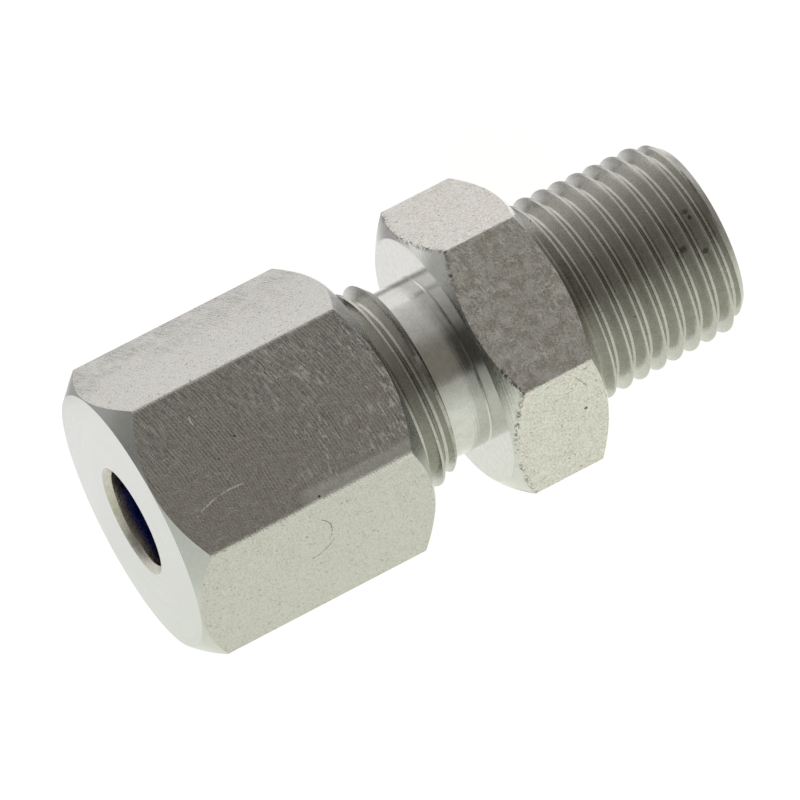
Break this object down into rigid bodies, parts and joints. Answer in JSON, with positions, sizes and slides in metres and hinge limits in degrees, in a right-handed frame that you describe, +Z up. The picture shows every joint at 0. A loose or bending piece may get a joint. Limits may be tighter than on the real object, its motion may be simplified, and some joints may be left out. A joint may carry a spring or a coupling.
{
  "type": "thermocouple compression fitting",
  "caption": "Bored-through hexagon fitting with a taper pipe thread, a union nut and an olive that grips a probe.",
  "frame": {"origin": "middle of the length, on the surface that the two hexagons' lower flats rest on", "axes": "+X along the bore from the nut to the tip of the pipe thread, +Z up from the lower flats, +Y across the corners"},
  "size_m": [0.0296, 0.0146, 0.0127],
  "materials": {
    "body_steel": "turned stainless steel, fine tool marks",
    "nut_steel": "turned stainless steel, fine tool marks",
    "ferrule_steel": "smooth turned stainless steel"
  },
  "bodies": {
    "body": {"fitting_body": "body_steel"},
    "ferrule": {"ferrule": "ferrule_steel"},
    "nut": {"compression_nut": "nut_steel"}
  },
  "joints": [
    {"name": "ferrule_slide", "type": "slide", "parent": "body", "child": "ferrule", "axis": [1, 0, 0], "range_m": [-0.005, 0.001]},
    {"name": "nut_turn", "type": "hinge", "parent": "ferrule", "child": "nut", "pos_m": [0, 0, 0.00635], "axis": [1, 0, 0], "range_deg": [-1800, 360]}
  ],
  "couplings": [
    {"joint": "ferrule_slide", "follows": "nut_turn", "m_per_rad": 0.00015915}
  ]
}
